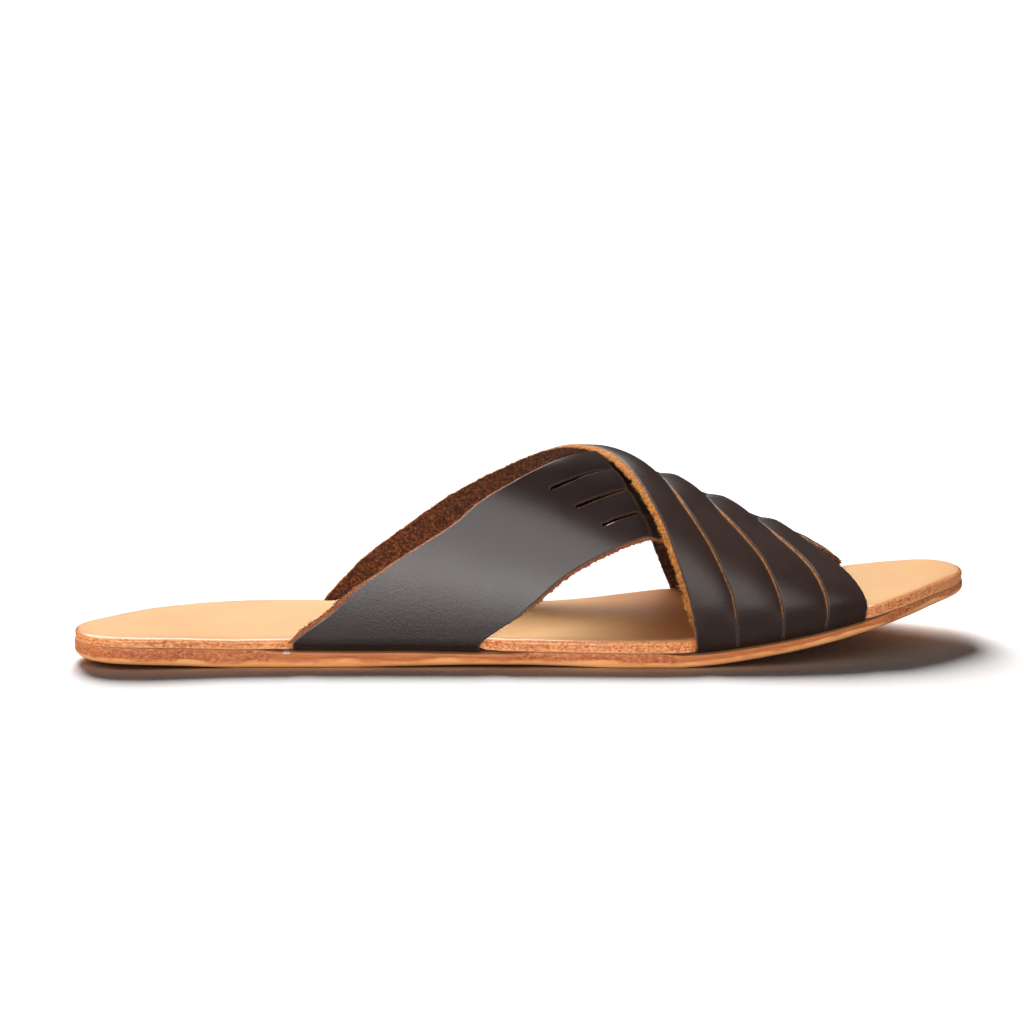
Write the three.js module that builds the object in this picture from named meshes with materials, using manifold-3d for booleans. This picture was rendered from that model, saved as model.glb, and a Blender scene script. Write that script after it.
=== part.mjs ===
// Huarache sandal, right shoe: a flat two-layer leather sole and an upper of
// two wide straps that cross over the foot and are interlaced on the ridge.
// Millimetres. +X points to the toe, +Z up, -Y is the lateral (outer) side.
import * as THREE from 'three';
import { mergeVertices } from 'three/addons/utils/BufferGeometryUtils.js';
import Module from 'manifold-3d';

// ---------------------------------------------------------------- sizes
const LENGTH = 292;            // heel to toe tip
const STRAP = 2.0;             // strap leather
const GAP = 0.3;               // between pieces that touch
const DIP = 0.7;               // strap tail pressed into the outsole
const LIFT = STRAP + GAP - DIP; // insole raised over a strap tail
const TAIL = 13;               // strap tail held between the two layers
const RAMP = 12;               // length of the lump beside a strap
const BEND = 2.6;              // outer radius of the strap where it turns under
const PROUD = 0.7;             // strap face outside the sole's outline
const TOE_SKEW = 0.16;         // the ball line runs back towards the lateral side
const HEEL_SKEW = 0.25;        // the heel lifts first at its lateral corner
const SPINE_BACK = -116, SPINE_FRONT = 116;
const CENTRE_X = 0, CENTRE_Y = -0.245; // middle of the whole shoe's box in the table's frame
const UNDER = 1.8;             // how far one strap dives to pass below the other

// ---------------------------------------------------------------- tables
// sole outline: half-breadths at each station, 0 at the foot's centre line
const OUTLINE = [
  { x: -146, lat: -9.0, med: -9.0 },
  { x: -144, lat: -18.5, med: -1.0 },
  { x: -140, lat: -24.4, med: 4.6 },
  { x: -132, lat: -28.9, med: 14.6 },
  { x: -120, lat: -30.6, med: 27.2 },
  { x: -106, lat: -30.8, med: 34.6 },
  { x: -90, lat: -31.4, med: 36.4 },
  { x: -70, lat: -33.2, med: 35.2 },
  { x: -50, lat: -35.3, med: 32.4 },
  { x: -30, lat: -37.8, med: 29.0 },
  { x: -10, lat: -40.6, med: 26.0 },
  { x: 5, lat: -43.0, med: 25.2 },
  { x: 20, lat: -45.6, med: 28.6 },
  { x: 35, lat: -47.3, med: 35.2 },
  { x: 50, lat: -47.8, med: 42.2 },
  { x: 60, lat: -47.4, med: 45.6 },
  { x: 72, lat: -46.2, med: 47.4 },
  { x: 90, lat: -42.2, med: 46.0 },
  { x: 105, lat: -35.9, med: 42.4 },
  { x: 118, lat: -27.5, med: 38.2 },
  { x: 130, lat: -17.0, med: 33.0 },
  { x: 138, lat: -8.8, med: 28.3 },
  { x: 143, lat: -1.8, med: 23.4 },
  { x: 146, lat: 10.5, med: 10.5 },
];
// leather thickness of the two layers and the arch's clearance, by station
const LAYERS = [
  { x: -146, outsole: 5.2, insole: 3.0, arch: 0 },
  { x: -90, outsole: 5.9, insole: 3.0, arch: 0 },
  { x: -62, outsole: 5.6, insole: 3.2, arch: 0 },
  { x: -45, outsole: 5.2, insole: 3.4, arch: 0.35 },
  { x: -17, outsole: 4.3, insole: 3.7, arch: 0.85 },
  { x: 0, outsole: 4.4, insole: 3.7, arch: 0.55 },
  { x: 20, outsole: 4.7, insole: 3.8, arch: 0 },
  { x: 60, outsole: 4.6, insole: 3.9, arch: 0 },
  { x: 110, outsole: 4.0, insole: 3.8, arch: 0 },
  { x: 146, outsole: 3.5, insole: 3.7, arch: 0 },
];
// toe spring along the skewed length, and the heel's lift at its back
const TOE_SPRING = [
  { u: 48, z: 0 }, { u: 58, z: 0.7 }, { u: 68, z: 1.8 }, { u: 78, z: 3.1 }, { u: 88, z: 4.6 },
  { u: 98, z: 6.3 }, { u: 108, z: 8.1 }, { u: 118, z: 9.8 }, { u: 126, z: 11.1 }, { u: 134, z: 12.2 }, { u: 146, z: 13.2 },
];
const HEEL_LIFT = [
  { u: 104, z: 0 }, { u: 112, z: 0.4 }, { u: 122, z: 1.0 }, { u: 135, z: 1.5 }, { u: 152, z: 1.9 },
];
// the last over the foot: ridge and fullness of the two halves, by station
const LAST = [
  { x: -95, ridgeY: 2, ridgeZ: 92, fullLat: 2.3, fullMed: 2.3 },
  { x: -40, ridgeY: 2, ridgeZ: 82.5, fullLat: 2.3, fullMed: 2.3 },
  { x: 0, ridgeY: 2, ridgeZ: 71.5, fullLat: 2.25, fullMed: 2.25 },
  { x: 20, ridgeY: 2.5, ridgeZ: 63.8, fullLat: 2.2, fullMed: 2.2 },
  { x: 35, ridgeY: 3, ridgeZ: 57.6, fullLat: 2.2, fullMed: 2.2 },
  { x: 45, ridgeY: 3.5, ridgeZ: 52.8, fullLat: 2.2, fullMed: 2.2 },
  { x: 60, ridgeY: 4.5, ridgeZ: 45.8, fullLat: 2.2, fullMed: 2.2 },
  { x: 76, ridgeY: 6, ridgeZ: 38.4, fullLat: 2.25, fullMed: 2.3 },
  { x: 94, ridgeY: 8, ridgeZ: 30.6, fullLat: 2.45, fullMed: 2.55 },
  { x: 110, ridgeY: 10, ridgeZ: 26, fullLat: 2.6, fullMed: 2.9 },
  { x: 130, ridgeY: 11, ridgeZ: 24, fullLat: 2.6, fullMed: 2.9 },
];
// strap edges: the station of each edge at an angle round the last,
// 0 at the lateral side of the sole, 90 on the ridge, 180 at the medial side.
// Strap "a" runs from the lateral rear to the medial front, "b" the other way.
const STRAPS = [
  { turn: 0, aRear: -78.5, aFront: -21.8, bRear: 44.7, bFront: 100.5 },
  { turn: 5, aRear: -66.2, aFront: -11.2, bRear: 44.1, bFront: 101 },
  { turn: 10, aRear: -58.2, aFront: -4.4, bRear: 43.4, bFront: 100.9 },
  { turn: 15, aRear: -48.8, aFront: 1.4, bRear: 42.6, bFront: 100.5 },
  { turn: 20, aRear: -40.2, aFront: 7.4, bRear: 41.6, bFront: 100.1 },
  { turn: 27, aRear: -29.2, aFront: 16.6, bRear: 40.1, bFront: 99.4 },
  { turn: 35, aRear: -20.8, aFront: 27.6, bRear: 38.4, bFront: 98.5 },
  { turn: 45, aRear: -9.6, aFront: 42.8, bRear: 36.3, bFront: 97 },
  { turn: 55, aRear: 0.2, aFront: 57.2, bRear: 33.7, bFront: 94.9 },
  { turn: 65, aRear: 9, aFront: 70, bRear: 31.1, bFront: 92.6 },
  { turn: 77, aRear: 18, aFront: 82, bRear: 27.6, bFront: 90.6 },
  { turn: 90, aRear: 24.2, aFront: 90.5, bRear: 23.4, bFront: 88.8 },
  { turn: 103, aRear: 28.4, aFront: 94.5, bRear: 18.2, bFront: 81 },
  { turn: 115, aRear: 32, aFront: 98.5, bRear: 11, bFront: 70 },
  { turn: 125, aRear: 35, aFront: 101.5, bRear: 4.2, bFront: 58.5 },
  { turn: 135, aRear: 38.6, aFront: 105, bRear: -4.3, bFront: 44.5 },
  { turn: 145, aRear: 42, aFront: 107.8, bRear: -15.3, bFront: 30 },
  { turn: 153, aRear: 44.8, aFront: 109.6, bRear: -25.2, bFront: 20.5 },
  { turn: 160, aRear: 47.2, aFront: 111, bRear: -34.2, bFront: 13 },
  { turn: 165, aRear: 49, aFront: 111.7, bRear: -41.6, bFront: 7 },
  { turn: 170, aRear: 50.7, aFront: 112.2, bRear: -49.8, bFront: 1.4 },
  { turn: 175, aRear: 52.5, aFront: 112.6, bRear: -58.2, bFront: -5 },
  { turn: 180, aRear: 54.3, aFront: 112.9, bRear: -66.5, bFront: -13 },
];

// ---------------------------------------------------------------- helpers
const clamp = (v, a, b) => Math.min(b, Math.max(a, v));
const lerp = (a, b, t) => a + (b - a) * t;
const smooth = (t) => { const c = clamp(t, 0, 1); return c * c * (3 - 2 * c); };

// monotone cubic through the rows of a table
function curve(rows, key, col, map = (v) => v) {
  const X = rows.map((r) => map(r[key])), Y = rows.map((r) => r[col]), n = X.length;
  const h = [], s = [];
  for (let i = 0; i < n - 1; i++) { h.push(X[i + 1] - X[i]); s.push((Y[i + 1] - Y[i]) / h[i]); }
  const m = [s[0]];
  for (let i = 1; i < n - 1; i++) {
    if (s[i - 1] * s[i] <= 0) m.push(0);
    else {
      const a = 2 * h[i] + h[i - 1], b = h[i] + 2 * h[i - 1];
      m.push((a + b) / (a / s[i - 1] + b / s[i]));
    }
  }
  m.push(s[n - 2]);
  return (v) => {
    const q = map(v);
    if (q <= X[0]) return Y[0];
    if (q >= X[n - 1]) return Y[n - 1];
    let i = 0;
    while (q > X[i + 1]) i++;
    const t = (q - X[i]) / h[i], t2 = t * t, t3 = t2 * t;
    return (2 * t3 - 3 * t2 + 1) * Y[i] + (t3 - 2 * t2 + t) * h[i] * m[i]
      + (3 * t2 - 2 * t3) * Y[i + 1] + (t3 - t2) * h[i] * m[i + 1];
  };
}

// round ends: the outline is a smooth function of this angle along the length
const along = (x) => Math.acos(clamp(-x / (LENGTH / 2), -1, 1));
const latEdge = curve(OUTLINE, 'x', 'lat', along);
const medEdge = curve(OUTLINE, 'x', 'med', along);
const outsoleT = curve(LAYERS, 'x', 'outsole');
const insoleT = curve(LAYERS, 'x', 'insole');
const archZ = curve(LAYERS, 'x', 'arch');
const toeZ = curve(TOE_SPRING, 'u', 'z');
const heelZ = curve(HEEL_LIFT, 'u', 'z');
const ridgeY = curve(LAST, 'x', 'ridgeY');
const ridgeZ = curve(LAST, 'x', 'ridgeZ');
const fullLat = curve(LAST, 'x', 'fullLat');
const fullMed = curve(LAST, 'x', 'fullMed');
const edgeOf = {
  aRear: curve(STRAPS, 'turn', 'aRear'), aFront: curve(STRAPS, 'turn', 'aFront'),
  bRear: curve(STRAPS, 'turn', 'bRear'), bFront: curve(STRAPS, 'turn', 'bFront'),
};

const floorZ = (x, y) => toeZ(x - TOE_SKEW * y) + heelZ(-x - HEEL_SKEW * y) + archZ(x);

// the four places where a strap leaves the sole, over its tail and up the insole's side
const UPRIGHT = 2.5;
const seatOf = (side, rear, front) => {
  const turns = side < 0 ? [0, UPRIGHT] : [180, 180 - UPRIGHT];
  return { side, from: Math.min(...turns.map(edgeOf[rear])), to: Math.max(...turns.map(edgeOf[front])) };
};
const SEATS = [seatOf(-1, 'aRear', 'aFront'), seatOf(-1, 'bRear', 'bFront'), seatOf(1, 'bRear', 'bFront'), seatOf(1, 'aRear', 'aFront')];
// 1 over a seat, falling to 0 beside it; depth is the distance in from the edge
function seat(x, side, depth) {
  let w = 0;
  for (const s of SEATS) {
    if (s.side !== side) continue;
    const out = Math.max(s.from - 1.5 - x, x - s.to - 1.5, 0);
    w = Math.max(w, smooth(1 - out / RAMP));
  }
  return w * smooth((TAIL + 15 - depth) / 12);
}

// ---------------------------------------------------------------- sole layers
function stations() {
  const xs = [], n = 15, ends = 26;
  for (let i = 1; i < n; i++) xs.push(-LENGTH / 2 + ends * (1 - Math.cos((i / n) * Math.PI / 2)));
  for (let i = 1; i < n; i++) xs.push(LENGTH / 2 - ends * (1 - Math.cos((i / n) * Math.PI / 2)));
  let x = -LENGTH / 2 + ends;
  while (x < LENGTH / 2 - ends) {
    xs.push(x);
    let near = false;
    for (const s of SEATS) for (const e of [s.from - 7, s.to + 7]) if (Math.abs(x + 2.5 - e) < 9.5) near = true;
    x += near ? 4.4 : 7.5;
  }
  xs.push(LENGTH / 2 - ends);
  for (const s of SEATS) xs.push(s.from - 1.5, s.to + 1.5);
  xs.sort((a, b) => a - b);
  return xs.filter((v, i) => i === 0 || v - xs[i - 1] > 0.02);
}
const XS = stations();
// closed ring of rim points: heel tip, lateral side, toe tip, medial side
const RIM = [
  { x: -LENGTH / 2, side: -1 },
  ...XS.map((x) => ({ x, side: -1 })),
  { x: LENGTH / 2, side: -1 },
  ...XS.slice().reverse().map((x) => ({ x, side: 1 })),
];

function rimPoint(p, depth, outset) {
  const y = p.side < 0 ? latEdge(p.x) : medEdge(p.x);
  const sx = clamp(p.x, SPINE_BACK, SPINE_FRONT);
  const sy = (latEdge(sx) + medEdge(sx)) / 2;
  const dx = sx - p.x, dy = sy - y, d = Math.hypot(dx, dy);
  const t = depth === Infinity ? 1 : Math.min(depth - outset, depth > 20 ? 0.9 * d : d) / d;
  return { x: p.x + dx * t, y: y + dy * t };
}

// rings from the top middle, over the edge, to the bottom middle
function layer(rings, heightOf) {
  const pos = [], idx = [], N = RIM.length;
  for (const r of rings) {
    for (const p of RIM) {
      const q = rimPoint(p, r.depth, r.outset(p));
      pos.push(q.x, q.y, heightOf(q.x, q.y, p, r));
    }
  }
  for (let i = 0; i < rings.length - 1; i++) {
    for (let k = 0; k < N; k++) {
      const a = i * N + k, b = i * N + (k + 1) % N, c = a + N, d = b + N;
      idx.push(a, c, b, b, c, d);
    }
  }
  const g = new THREE.BufferGeometry();
  g.setAttribute('position', new THREE.Float32BufferAttribute(pos, 3));
  g.setIndex(idx);
  return closeSeams(g);
}

// the middle rings fold onto the centre line: weld and drop the empty triangles
function closeSeams(g) {
  const m = mergeVertices(g, 1e-4), p = m.getAttribute('position'), id = m.getIndex().array, keep = [];
  for (let i = 0; i < id.length; i += 3) {
    const [a, b, c] = [id[i], id[i + 1], id[i + 2]];
    if (a !== b && b !== c && a !== c) keep.push(a, b, c);
  }
  m.setIndex(keep);
  m.setAttribute('position', p);
  return m;
}

const outsoleTop = (x, y, side, depth) => floorZ(x, y) + outsoleT(x) - DIP * seat(x, side, depth);
const insoleLow = (x, y, side, depth) => floorZ(x, y) + outsoleT(x) + GAP + LIFT * seat(x, side, depth);
const insoleHigh = (x, y, side, depth) => insoleLow(x, y, side, depth) + insoleT(x) - GAP * seat(x, side, depth);

const none = () => 0;
const flare = (p) => (PROUD + 0.2) * seat(p.x, p.side, 0);
// behind a strap the insole's side is let in by the strap's thickness, measured square to the outline
const tuck = (p) => {
  const rim = p.side < 0 ? latEdge : medEdge;
  const square = Math.hypot(1, (rim(p.x + 1) - rim(p.x - 1)) / 2);
  const inset = (STRAP + GAP) * square - PROUD;
  return -0.2 - (inset - 0.2) * smooth(2.2 * seat(p.x, p.side, 0) - 0.6);
};
const outsole = layer([
  { depth: Infinity, outset: none, part: 'top', drop: 0 },
  { depth: 25, outset: none, part: 'top', drop: 0 },
  { depth: 15, outset: none, part: 'top', drop: 0 },
  { depth: 5, outset: flare, part: 'top', drop: 0 },
  { depth: 0.5, outset: flare, part: 'top', drop: 0 },
  { depth: 0, outset: flare, part: 'top', drop: 0.5 },
  { depth: 0, outset: flare, part: 'low', drop: 2.2 },
  { depth: 0.7, outset: flare, part: 'low', drop: 0.75 },
  { depth: 2.4, outset: flare, part: 'low', drop: 0 },
  { depth: 15, outset: none, part: 'low', drop: 0 },
  { depth: Infinity, outset: none, part: 'low', drop: 0 },
], (x, y, p, r) => (r.part === 'top' ? outsoleTop(x, y, p.side, r.depth) - r.drop : floorZ(x, y) + r.drop));

const insole = layer([
  { depth: Infinity, outset: none, part: 'top', drop: 0 },
  { depth: 25, outset: none, part: 'top', drop: 0 },
  { depth: 15, outset: none, part: 'top', drop: 0 },
  { depth: 5, outset: tuck, part: 'top', drop: 0 },
  { depth: 1.4, outset: tuck, part: 'top', drop: 0.05 },
  { depth: 0.45, outset: tuck, part: 'top', drop: 0.5 },
  { depth: 0, outset: tuck, part: 'top', drop: 1.4 },
  { depth: 0, outset: tuck, part: 'low', drop: 0.3 },
  { depth: 0.5, outset: tuck, part: 'low', drop: 0 },
  { depth: 5, outset: tuck, part: 'low', drop: 0 },
  { depth: 15, outset: none, part: 'low', drop: 0 },
  { depth: 25, outset: none, part: 'low', drop: 0 },
  { depth: Infinity, outset: none, part: 'low', drop: 0 },
], (x, y, p, r) => (r.part === 'top' ? insoleHigh(x, y, p.side, r.depth) - r.drop : insoleLow(x, y, p.side, r.depth) + r.drop));

// ---------------------------------------------------------------- upper
// A point of the last's outer face at station x and turn (degrees).
// Below 0 and above 180 the face bends round under the insole and runs inwards.
function lastPoint(x, turn) {
  const side = turn <= 90 ? -1 : 1;
  const t = side < 0 ? turn : 180 - turn;
  const rim = side < 0 ? latEdge(x) : medEdge(x);
  const y0 = rim + side * PROUD;
  const z0 = floorZ(x, rim) + outsoleT(x) - DIP + GAP + BEND;
  if (t >= 0) {
    const a = THREE.MathUtils.degToRad(t), e = 2 / (side < 0 ? fullLat(x) : fullMed(x));
    const ry = ridgeY(x);
    return new THREE.Vector3(x, ry + (y0 - ry) * Math.max(0, Math.cos(a)) ** e, z0 + (ridgeZ(x) - z0) * Math.max(0, Math.sin(a)) ** e);
  }
  if (t > -10) { // quarter bend
    const a = (-t / 10) * (Math.PI / 2);
    const y = y0 - side * BEND * (1 - Math.cos(a));
    return new THREE.Vector3(x, y, z0 - BEND * Math.sin(a) + floorZ(x, y) - floorZ(x, rim));
  }
  const run = ((-t - 10) / 10) * (TAIL - BEND);
  const y = y0 - side * (BEND + run);
  return new THREE.Vector3(x, y, z0 - BEND + floorZ(x, y) - floorZ(x, rim));
}
function lastNormal(x, turn) {
  const h = 0.02;
  const du = lastPoint(x + h, turn).sub(lastPoint(x - h, turn));
  const dv = lastPoint(x, turn + h).sub(lastPoint(x, turn - h));
  return du.cross(dv).normalize(); // outwards: x forward, turn from lateral to medial
}

const swap = (turn) => smooth((turn - 97) / 14);
const diveA = (x, turn) => -UNDER * smooth((x - edgeOf.bRear(turn) + 10) / 8) * (1 - swap(turn));
const diveB = (x, turn) => -UNDER * smooth((x - edgeOf.aRear(turn) + 10) / 8) * swap(turn);

function strap(rear, front, dive, cells = 8) {
  const turns = [-20, -15, -10, -6.7, -3.3, 0];
  for (const t of [2.5, 5.5, 9, 13, 17.5, 22.5, 28, 34, 40, 46, 52, 58, 64, 70, 76, 82, 87, 92]) turns.push(t);
  for (const t of [97, 101, 105, 110, 116, 122, 128, 134, 140, 146, 152, 157.5, 162.5, 167, 171, 174.5, 177.5]) turns.push(t);
  for (const t of [0, -3.3, -6.7, -10, -15, -20]) turns.push(180 - t);
  const pos = [], idx = [], W = cells + 1, R = turns.length;
  for (const face of [0, 1]) {
    for (const turn of turns) {
      const tc = clamp(turn, 0, 180), x0 = edgeOf[rear](tc), x1 = edgeOf[front](tc);
      for (let j = 0; j < W; j++) {
        const x = lerp(x0, x1, j / cells);
        const n = lastNormal(x, turn);
        const p = lastPoint(x, turn).addScaledVector(n, dive(x, tc) * (turn >= 0 && turn <= 180 ? 1 : 0) - face * STRAP);
        pos.push(p.x, p.y, p.z);
      }
    }
  }
  const at = (f, i, j) => f * R * W + i * W + j;
  const quad = (a, b, c, d) => idx.push(a, b, c, a, c, d);
  for (let i = 0; i < R - 1; i++) {
    for (let j = 0; j < cells; j++) {
      quad(at(0, i, j), at(0, i, j + 1), at(0, i + 1, j + 1), at(0, i + 1, j));
      quad(at(1, i, j), at(1, i + 1, j), at(1, i + 1, j + 1), at(1, i, j + 1));
    }
    quad(at(0, i, 0), at(0, i + 1, 0), at(1, i + 1, 0), at(1, i, 0));
    quad(at(0, i, cells), at(1, i, cells), at(1, i + 1, cells), at(0, i + 1, cells));
  }
  for (let j = 0; j < cells; j++) {
    quad(at(0, 0, j), at(1, 0, j), at(1, 0, j + 1), at(0, 0, j + 1));
    quad(at(0, R - 1, j), at(0, R - 1, j + 1), at(1, R - 1, j + 1), at(1, R - 1, j));
  }
  const g = new THREE.BufferGeometry();
  g.setAttribute('position', new THREE.Float32BufferAttribute(pos, 3));
  g.setIndex(idx);
  return g;
}

const wasm = await Module();
wasm.setup();
function toSolid(geometry) {
  const g = mergeVertices(geometry, 1e-5);
  return new wasm.Manifold(new wasm.Mesh({
    numProp: 3,
    vertProperties: new Float32Array(g.getAttribute('position').array),
    triVerts: new Uint32Array(g.getIndex().array),
  }));
}
function fromSolid(solid) {
  const m = solid.getMesh(), g = new THREE.BufferGeometry();
  g.setAttribute('position', new THREE.BufferAttribute(new Float32Array(m.vertProperties), 3));
  g.setIndex(new THREE.BufferAttribute(new Uint32Array(m.triVerts), 1));
  return g;
}
const upper = fromSolid(toSolid(strap('aRear', 'aFront', diveA)).add(toSolid(strap('bRear', 'bFront', diveB))));

// ---------------------------------------------------------------- pieces
const group = new THREE.Group();
function piece(name, geometry, color, roughness) {
  geometry.computeVertexNormals();
  const mesh = new THREE.Mesh(geometry, new THREE.MeshStandardMaterial({ color, roughness, metalness: 0 }));
  mesh.name = name;
  mesh.position.set(-CENTRE_X, -CENTRE_Y, 0);
  group.add(mesh);
}
piece('outsole', outsole, 0xc98552, 0.6);
piece('insole', insole, 0xe2ae7c, 0.5);
piece('upper', upper, 0x3c302d, 0.45);

export default group;
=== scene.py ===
import math

import bpy
import numpy as np
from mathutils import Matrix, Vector


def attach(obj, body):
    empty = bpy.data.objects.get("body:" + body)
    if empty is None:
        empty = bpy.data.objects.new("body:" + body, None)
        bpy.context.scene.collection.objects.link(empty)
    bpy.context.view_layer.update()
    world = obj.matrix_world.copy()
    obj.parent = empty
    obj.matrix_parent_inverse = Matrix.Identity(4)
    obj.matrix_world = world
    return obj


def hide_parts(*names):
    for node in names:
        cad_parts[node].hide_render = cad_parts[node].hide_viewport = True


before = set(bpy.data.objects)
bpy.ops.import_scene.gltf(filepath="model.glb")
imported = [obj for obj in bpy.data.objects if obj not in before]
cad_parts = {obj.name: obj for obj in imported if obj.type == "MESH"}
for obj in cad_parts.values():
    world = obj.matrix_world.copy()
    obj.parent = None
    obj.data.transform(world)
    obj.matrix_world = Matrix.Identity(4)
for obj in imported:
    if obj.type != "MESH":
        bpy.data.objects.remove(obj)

scene = bpy.context.scene
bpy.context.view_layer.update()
MM = 0.001

# ------------------------------------------------------------------ camera
cam_data = bpy.data.cameras.new("camera")
cam = bpy.data.objects.new("camera", cam_data)
scene.collection.objects.link(cam)
cam.location = (-0.09607, -0.72756, 0.15216)
cam.rotation_euler = (math.radians(81.5), 0.0, math.radians(-7.0))
cam_data.sensor_width = 36.0
cam_data.lens = 80.8
cam_data.clip_start, cam_data.clip_end = 0.02, 20.0
scene.camera = cam

# ------------------------------------------------------------------ sizes (mm), the same as in the solids
LENGTH = 292.0
STRAP = 2.0
GAP = 0.3
DIP = 0.7
LIFT = STRAP + GAP - DIP
TAIL = 13.0
RAMP = 12.0
BEND = 2.6
PROUD = 0.7
TOE_SKEW = 0.16
HEEL_SKEW = 0.25
CENTRE_Y = -0.245
SPINE = 116.0
UPRIGHT = 2.5

SEED = 11
rng = np.random.default_rng(SEED)


def table(columns, *rows):
    return {c: np.array([r[i] for r in rows], float) for i, c in enumerate(columns.split())}


OUTLINE = table(
    "x lat med",
    (-146, -9, -9), (-144, -18.5, -1.0), (-140, -24.4, 4.6), (-132, -28.9, 14.6), (-120, -30.6, 27.2), (-106, -30.8, 34.6),
    (-90, -31.4, 36.4), (-70, -33.2, 35.2), (-50, -35.3, 32.4), (-30, -37.8, 29.0), (-10, -40.6, 26.0), (5, -43.0, 25.2),
    (20, -45.6, 28.6), (35, -47.3, 35.2), (50, -47.8, 42.2), (60, -47.4, 45.6), (72, -46.2, 47.4), (90, -42.2, 46.0),
    (105, -35.9, 42.4), (118, -27.5, 38.2), (130, -17.0, 33.0), (138, -8.8, 28.3), (143, -1.8, 23.4), (146, 10.5, 10.5),
)
LAYERS = table(
    "x outsole insole arch",
    (-146, 5.2, 3.0, 0), (-90, 5.9, 3.0, 0), (-62, 5.6, 3.2, 0), (-45, 5.2, 3.4, 0.35), (-17, 4.3, 3.7, 0.85),
    (0, 4.4, 3.7, 0.55), (20, 4.7, 3.8, 0), (60, 4.6, 3.9, 0), (110, 4.0, 3.8, 0), (146, 3.5, 3.7, 0),
)
TOE_SPRING = table(
    "u z",
    (48, 0), (58, 0.7), (68, 1.8), (78, 3.1), (88, 4.6), (98, 6.3), (108, 8.1), (118, 9.8), (126, 11.1), (134, 12.2), (146, 13.2),
)
HEEL_LIFT = table("u z", (104, 0), (112, 0.4), (122, 1.0), (135, 1.5), (152, 1.9))
LAST = table(
    "x ridgeY ridgeZ fullLat fullMed",
    (-95, 2, 92, 2.3, 2.3), (-40, 2, 82.5, 2.3, 2.3), (0, 2, 71.5, 2.25, 2.25), (20, 2.5, 63.8, 2.2, 2.2), (35, 3, 57.6, 2.2, 2.2),
    (45, 3.5, 52.8, 2.2, 2.2), (60, 4.5, 45.8, 2.2, 2.2), (76, 6, 38.4, 2.25, 2.3), (94, 8, 30.6, 2.45, 2.55),
    (110, 10, 26, 2.6, 2.9), (130, 11, 24, 2.6, 2.9),
)
STRAPS = table(
    "turn aRear aFront bRear bFront",
    (0, -78.5, -21.8, 44.7, 100.5), (5, -66.2, -11.2, 44.1, 101), (10, -58.2, -4.4, 43.4, 100.9), (15, -48.8, 1.4, 42.6, 100.5),
    (20, -40.2, 7.4, 41.6, 100.1), (27, -29.2, 16.6, 40.1, 99.4), (35, -20.8, 27.6, 38.4, 98.5), (45, -9.6, 42.8, 36.3, 97.0),
    (55, 0.2, 57.2, 33.7, 94.9), (65, 9.0, 70, 31.1, 92.6), (77, 18, 82, 27.6, 90.6), (90, 24.2, 90.5, 23.4, 88.8),
    (103, 28.4, 94.5, 18.2, 81), (115, 32, 98.5, 11, 70), (125, 35, 101.5, 4.2, 58.5), (135, 38.6, 105, -4.3, 44.5),
    (145, 42, 107.8, -15.3, 30), (153, 44.8, 109.6, -25.2, 20.5), (160, 47.2, 111, -34.2, 13), (165, 49, 111.7, -41.6, 7),
    (170, 50.7, 112.2, -49.8, 1.4), (175, 52.5, 112.6, -58.2, -5), (180, 54.3, 112.9, -66.5, -13),
)
# where the slits run: fractions of the strap's width, by turn counted from the strap's slit end
SLITS_B = table(  # cut through to the lateral edge, ending behind strap a on the medial side
    "turn one two three",
    (0, 0.226, 0.490, 0.745), (10, 0.233, 0.497, 0.756), (20, 0.242, 0.505, 0.768), (30, 0.235, 0.508, 0.776), (40, 0.226, 0.505, 0.780),
    (50, 0.213, 0.487, 0.775), (60, 0.208, 0.468, 0.760), (70, 0.212, 0.452, 0.742), (80, 0.232, 0.470, 0.735), (90, 0.250, 0.503, 0.758),
    (113, 0.200, 0.425, 0.700), (120, 0.190, 0.420, 0.700), (132, 0.200, 0.435, 0.700), (143, 0.210, 0.450, 0.723), (180, 0.22, 0.46, 0.73),
)
SLITS_A = table(  # ending on the lateral side behind strap b, cut through to the medial edge
    "turn one two three",
    (0, 0.22, 0.46, 0.73), (37, 0.212, 0.456, 0.723), (42, 0.208, 0.448, 0.700), (48, 0.202, 0.431, 0.697), (60, 0.190, 0.420, 0.700),
    (67, 0.205, 0.440, 0.715), (84, 0.285, 0.540, 0.810), (96, 0.280, 0.520, 0.800), (110, 0.240, 0.475, 0.760), (120, 0.218, 0.468, 0.760),
    (130, 0.213, 0.487, 0.775), (140, 0.226, 0.505, 0.780), (150, 0.235, 0.508, 0.776), (160, 0.242, 0.505, 0.768), (170, 0.233, 0.497, 0.756),
    (180, 0.226, 0.490, 0.745),
)
SLIT_END_A = (45.7, 41.4, 37.1)
SLIT_END_B = (134.0, 138.5, 142.5)


def smooth(t):
    c = np.clip(t, 0, 1)
    return c * c * (3 - 2 * c)


def curve(rows, key, col, remap=lambda v: v):
    X, Y = remap(rows[key]), rows[col]
    h, s = np.diff(X), np.diff(Y) / np.diff(X)
    m = np.zeros(len(X))
    m[0], m[-1] = s[0], s[-1]
    for i in range(1, len(X) - 1):
        if s[i - 1] * s[i] > 0:
            a, b = 2 * h[i] + h[i - 1], h[i] + 2 * h[i - 1]
            m[i] = (a + b) / (a / s[i - 1] + b / s[i])

    def f(v):
        q = np.clip(remap(np.asarray(v, float)), X[0], X[-1])
        i = np.clip(np.searchsorted(X, q, side="right") - 1, 0, len(X) - 2)
        t = (q - X[i]) / h[i]
        t2, t3 = t * t, t * t * t
        return (2 * t3 - 3 * t2 + 1) * Y[i] + (t3 - 2 * t2 + t) * h[i] * m[i] + (3 * t2 - 2 * t3) * Y[i + 1] + (t3 - t2) * h[i] * m[i + 1]

    return f


def along(x):
    return np.arccos(np.clip(-np.asarray(x, float) / (LENGTH / 2), -1, 1))


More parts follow.
